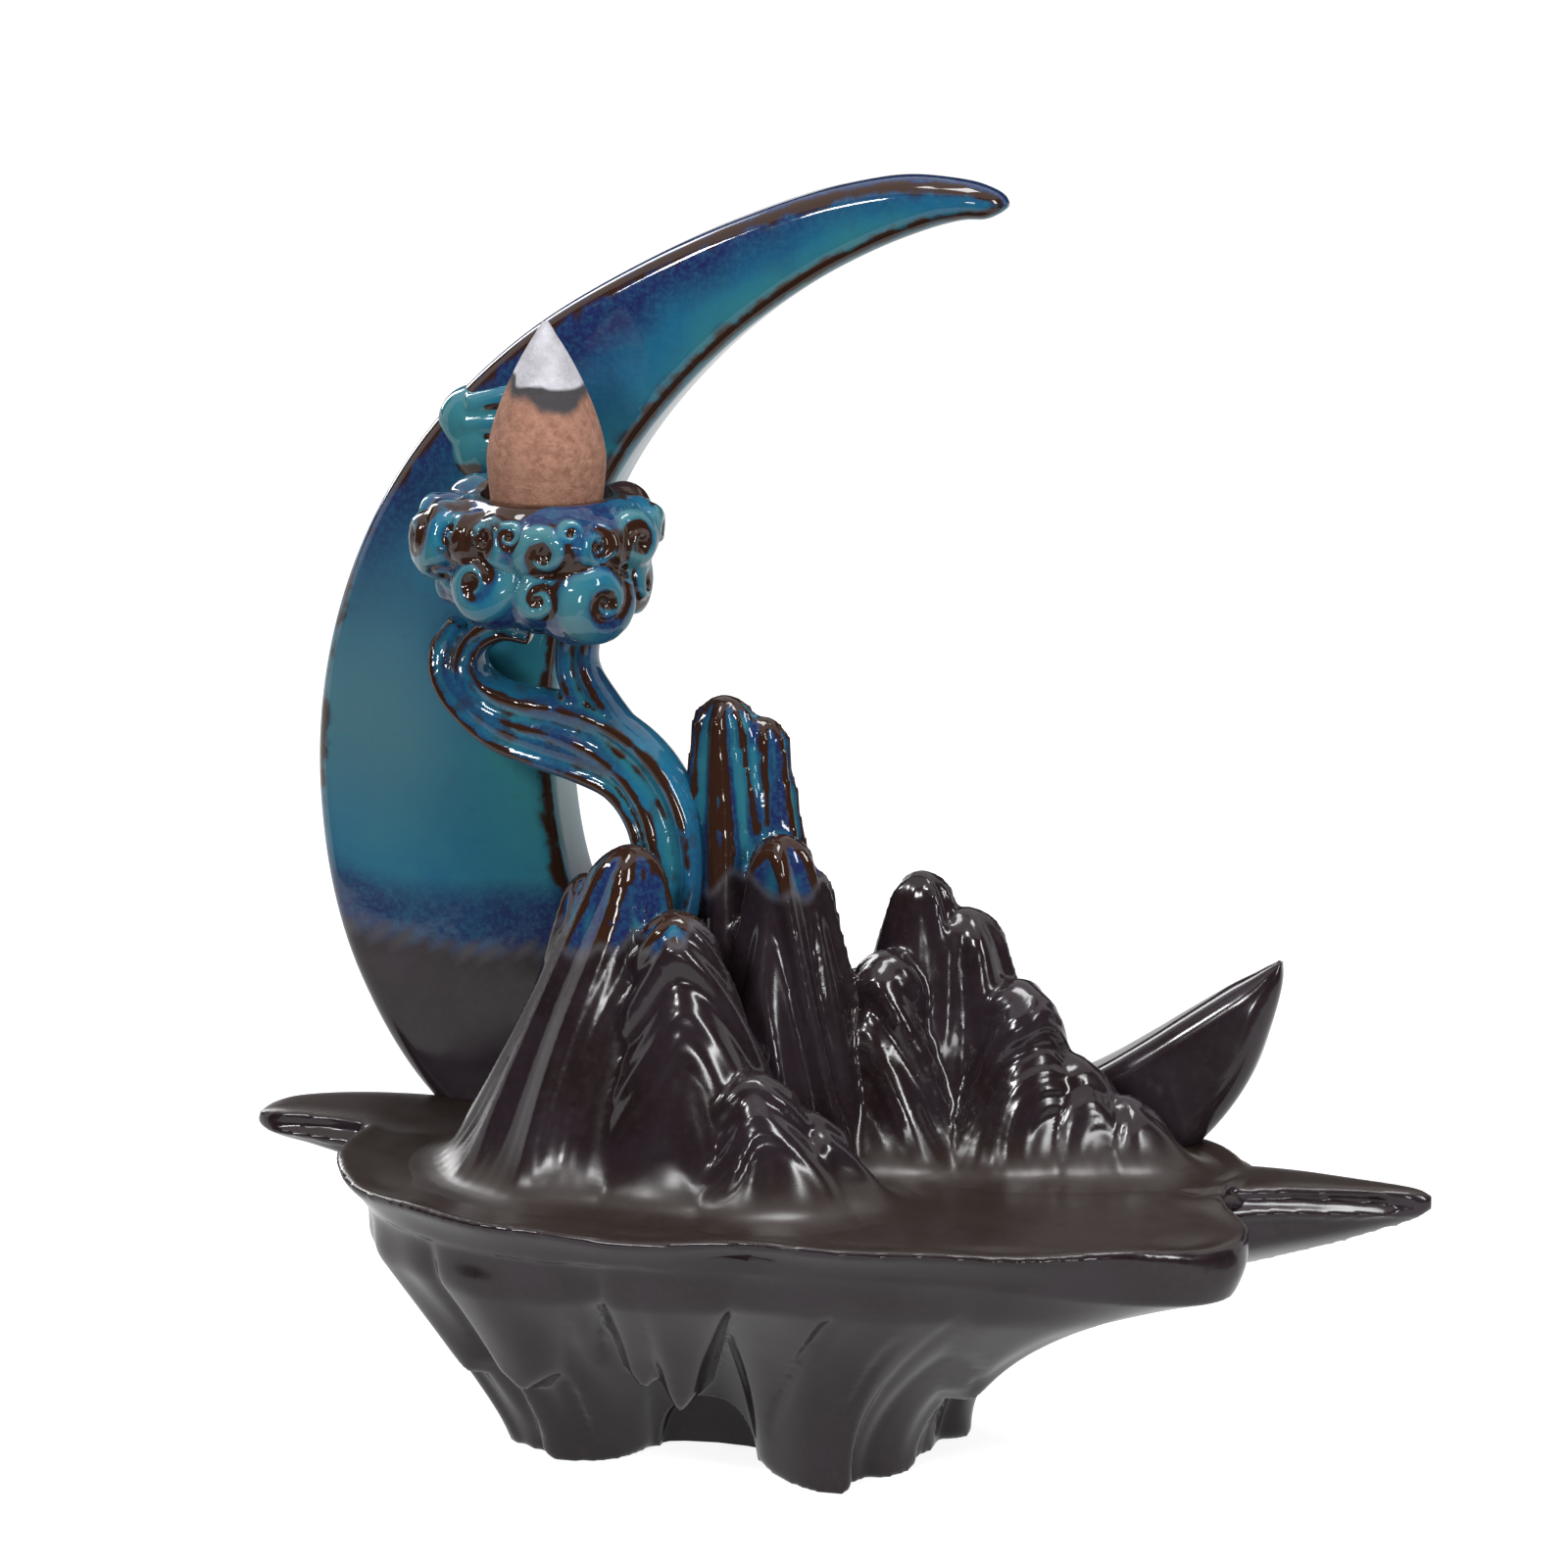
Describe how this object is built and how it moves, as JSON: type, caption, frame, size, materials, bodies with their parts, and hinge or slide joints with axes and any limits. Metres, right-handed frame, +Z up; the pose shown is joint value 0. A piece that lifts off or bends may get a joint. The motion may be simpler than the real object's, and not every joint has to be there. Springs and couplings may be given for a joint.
{
  "type": "backflow incense burner",
  "caption": "Glazed ceramic crescent moon on a rock island of peaks, whose cloud cup holds an incense cone so the smoke falls down a curling stream into a pool.",
  "frame": {"origin": "middle of the bounding box's base, on the surface that the foot stands on", "axes": "+X along the island towards the long rock spike on the right as seen from the front, +Y to the back, +Z up"},
  "size_m": [0.154, 0.0722, 0.1607],
  "materials": {
    "glaze": "gloss",
    "incense": "matte"
  },
  "bodies": {
    "root": {"burner": "glaze", "incense_cone": "incense"}
  },
  "joints": []
}
